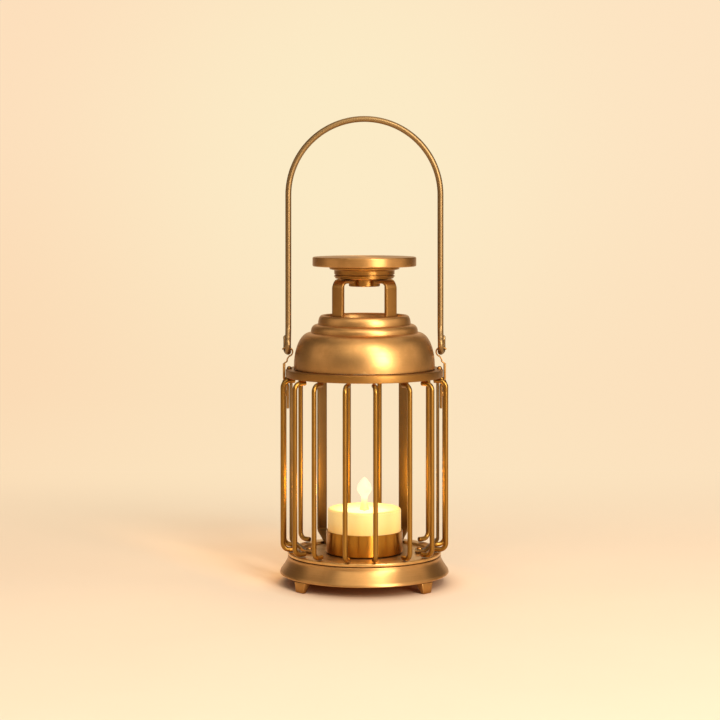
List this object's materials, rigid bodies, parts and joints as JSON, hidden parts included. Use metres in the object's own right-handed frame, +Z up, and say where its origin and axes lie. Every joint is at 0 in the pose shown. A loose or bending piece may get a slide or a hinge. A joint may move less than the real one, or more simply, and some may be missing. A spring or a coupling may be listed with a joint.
{
  "type": "candle lantern",
  "caption": "Round brass candle lantern: barred cage on a flared footed base, lift-off dome lid with an open crown and disc knob, swinging wire bail, candle in a cup.",
  "frame": {"origin": "on the floor under the lantern's axis, at the centre of the feet", "axes": "+Z up; -Y is the front; the bail's ends and its swing axis lie along X"},
  "size_m": [0.0882, 0.0882, 0.2433],
  "materials": {
    "brass": "satin antique brass",
    "dark_brass": "satin antique brass, a little darker on the flat straps",
    "wax": "cream wax, lit from inside",
    "wick": "charred cotton"
  },
  "bodies": {
    "cage": {"base_skirt": "brass", "tray": "brass", "top_ring": "brass", "foot_front_left": "brass", "foot_front_right": "brass", "foot_rear_left": "brass", "foot_rear_right": "brass", "bar_01": "brass", "bar_02": "brass", "bar_03": "brass", "bar_04": "brass", "bar_05": "brass", "bar_06": "brass", "bar_07": "brass", "bar_08": "brass", "bar_09": "brass", "bar_10": "brass", "bar_11": "brass", "bar_12": "brass", "bar_13": "brass", "bar_14": "brass", "upright_left": "dark_brass", "upright_right": "dark_brass", "upright_rear_left": "dark_brass", "upright_rear_right": "dark_brass", "ear_left": "brass", "ear_right": "brass", "foot_rivet_1": "brass", "foot_rivet_2": "brass", "foot_rivet_3": "brass", "foot_rivet_4": "brass", "flange_rivet_left": "brass", "flange_rivet_right": "brass", "ear_rivet_left": "brass", "ear_rivet_right": "brass"},
    "lid": {"dome": "brass", "cap_stem": "brass", "cap_disc": "brass", "crown_strap_1": "dark_brass", "crown_strap_2": "dark_brass", "crown_strap_3": "dark_brass", "crown_strap_4": "dark_brass"},
    "bail": {"bail": "brass"},
    "candle": {"candle_cup": "brass", "candle_wax": "wax", "candle_wick": "wick"}
  },
  "joints": [
    {"name": "bail_swing", "type": "hinge", "parent": "cage", "child": "bail", "pos_m": [0, 0, 0.1241], "axis": [1, 0, 0], "range_deg": [-100, 100]},
    {"name": "lid_lift", "type": "slide", "parent": "cage", "child": "lid", "axis": [0, 0, 1], "range_m": [0, 0.05]},
    {"name": "candle_lift", "type": "slide", "parent": "cage", "child": "candle", "axis": [0, 0, 1], "range_m": [0, 0.06]}
  ]
}
